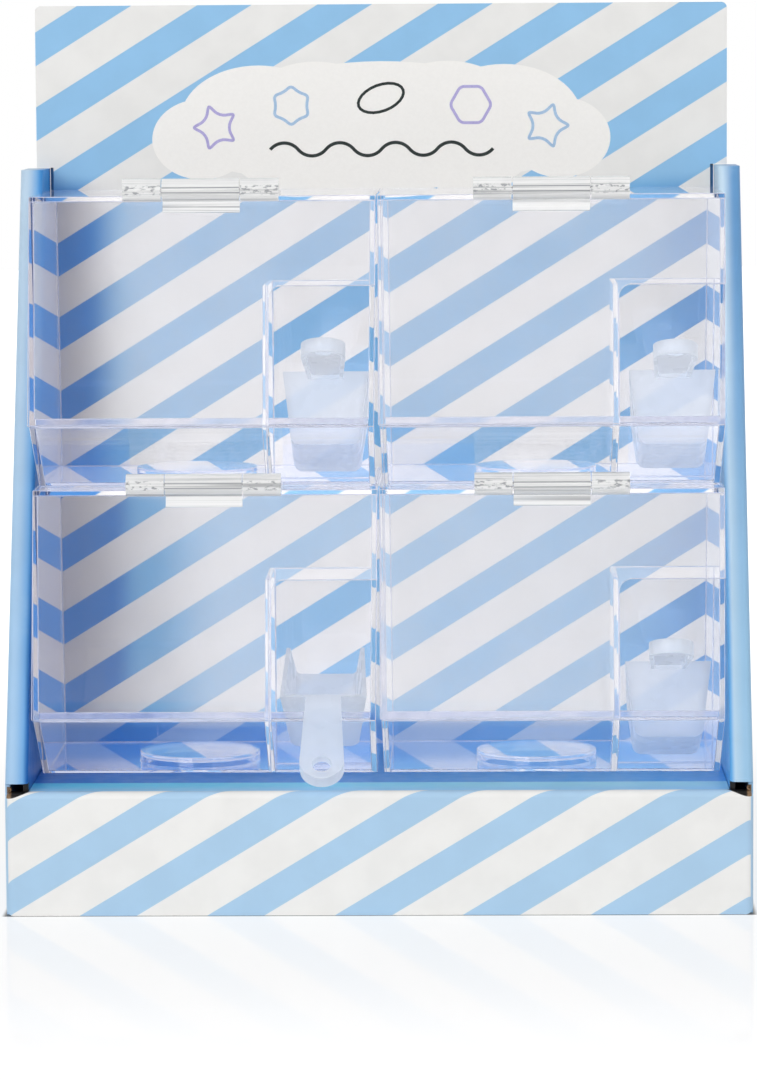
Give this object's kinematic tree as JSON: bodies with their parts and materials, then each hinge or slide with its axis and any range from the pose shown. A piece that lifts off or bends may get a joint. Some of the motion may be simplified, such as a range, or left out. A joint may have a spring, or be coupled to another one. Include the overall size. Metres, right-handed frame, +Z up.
{
  "type": "lidded sweets bin display",
  "caption": "Counter display case of printed card holding stacked clear bins with sloping hinged lids, each with a side pocket for a small scoop",
  "frame": {"origin": "centre of the card case's underside, where it stands on the counter", "axes": "X to the right seen from the front, Y to the back, Z up; the lids face -Y"},
  "size_m": [0.3, 0.1555, 0.365],
  "materials": {
    "card_floor": "matt printed card",
    "card_lip": "printed card, pale diagonal stripes, satin varnish",
    "card_left": "printed card, plain blue inside",
    "card_right": "printed card, plain blue inside",
    "card_header": "printed card, pale diagonal stripes, satin varnish",
    "card_riser": "printed card, plain blue",
    "clear_bin": "moulded clear plastic, polished",
    "clear_lid": "moulded clear plastic, slightly hazy",
    "clear_hinge": "extruded clear plastic, fine lengthwise streaks",
    "pin_steel": "bright drawn wire",
    "frosted_scoop": "frosted translucent plastic"
  },
  "bodies": {
    "case": {"case_floor": "card_floor", "front_lip": "card_lip", "left_side_wall": "card_left", "right_side_wall": "card_right", "back_board": "card_header", "riser": "card_riser"},
    "upper_left_bin": {"bin_upper_left": "clear_bin", "hinge_top_leaf_upper_left": "clear_hinge", "hinge_pin_upper_left": "pin_steel"},
    "upper_left_cover": {"lid_upper_left": "clear_lid", "hinge_lid_leaf_upper_left": "clear_hinge"},
    "upper_left_ladle": {"scoop_upper_left": "frosted_scoop"},
    "upper_right_bin": {"bin_upper_right": "clear_bin", "hinge_top_leaf_upper_right": "clear_hinge", "hinge_pin_upper_right": "pin_steel"},
    "upper_right_cover": {"lid_upper_right": "clear_lid", "hinge_lid_leaf_upper_right": "clear_hinge"},
    "upper_right_ladle": {"scoop_upper_right": "frosted_scoop"},
    "lower_left_bin": {"bin_lower_left": "clear_bin", "hinge_top_leaf_lower_left": "clear_hinge", "hinge_pin_lower_left": "pin_steel"},
    "lower_left_cover": {"lid_lower_left": "clear_lid", "hinge_lid_leaf_lower_left": "clear_hinge"},
    "lower_left_ladle": {"scoop_lower_left": "frosted_scoop"},
    "lower_right_bin": {"bin_lower_right": "clear_bin", "hinge_top_leaf_lower_right": "clear_hinge", "hinge_pin_lower_right": "pin_steel"},
    "lower_right_cover": {"lid_lower_right": "clear_lid", "hinge_lid_leaf_lower_right": "clear_hinge"},
    "lower_right_ladle": {"scoop_lower_right": "frosted_scoop"}
  },
  "joints": [
    {"name": "upper_left_bin_lift", "type": "slide", "parent": "case", "child": "upper_left_bin", "axis": [0, 0, 1], "range_m": [0, 0.2]},
    {"name": "upper_left_lid_hinge", "type": "hinge", "parent": "upper_left_bin", "child": "upper_left_cover", "pos_m": [-0.0702, -0.0446, 0.29], "axis": [-1, 0, 0], "range_deg": [0, 255]},
    {"name": "upper_left_scoop_draw", "type": "slide", "parent": "upper_left_bin", "child": "upper_left_ladle", "axis": [0, -0.6157, 0.788], "range_m": [0, 0.12]},
    {"name": "upper_right_bin_lift", "type": "slide", "parent": "case", "child": "upper_right_bin", "axis": [0, 0, 1], "range_m": [0, 0.2]},
    {"name": "upper_right_lid_hinge", "type": "hinge", "parent": "upper_right_bin", "child": "upper_right_cover", "pos_m": [0.0702, -0.0446, 0.29], "axis": [-1, 0, 0], "range_deg": [0, 255]},
    {"name": "upper_right_scoop_draw", "type": "slide", "parent": "upper_right_bin", "child": "upper_right_ladle", "axis": [0, -0.6157, 0.788], "range_m": [0, 0.12]},
    {"name": "lower_left_bin_draw", "type": "slide", "parent": "case", "child": "lower_left_bin", "axis": [0, -1, 0], "range_m": [0, 0.14]},
    {"name": "lower_left_lid_hinge", "type": "hinge", "parent": "lower_left_bin", "child": "lower_left_cover", "pos_m": [-0.0702, -0.0446, 0.1713], "axis": [-1, 0, 0], "range_deg": [0, 140]},
    {"name": "lower_left_scoop_draw", "type": "slide", "parent": "lower_left_bin", "child": "lower_left_ladle", "axis": [0, -0.766, 0.6428], "range_m": [0, 0.12]},
    {"name": "lower_right_bin_draw", "type": "slide", "parent": "case", "child": "lower_right_bin", "axis": [0, -1, 0], "range_m": [0, 0.14]},
    {"name": "lower_right_lid_hinge", "type": "hinge", "parent": "lower_right_bin", "child": "lower_right_cover", "pos_m": [0.0702, -0.0446, 0.1713], "axis": [-1, 0, 0], "range_deg": [0, 140]},
    {"name": "lower_right_scoop_draw", "type": "slide", "parent": "lower_right_bin", "child": "lower_right_ladle", "axis": [0, -0.6157, 0.788], "range_m": [0, 0.12]}
  ]
}
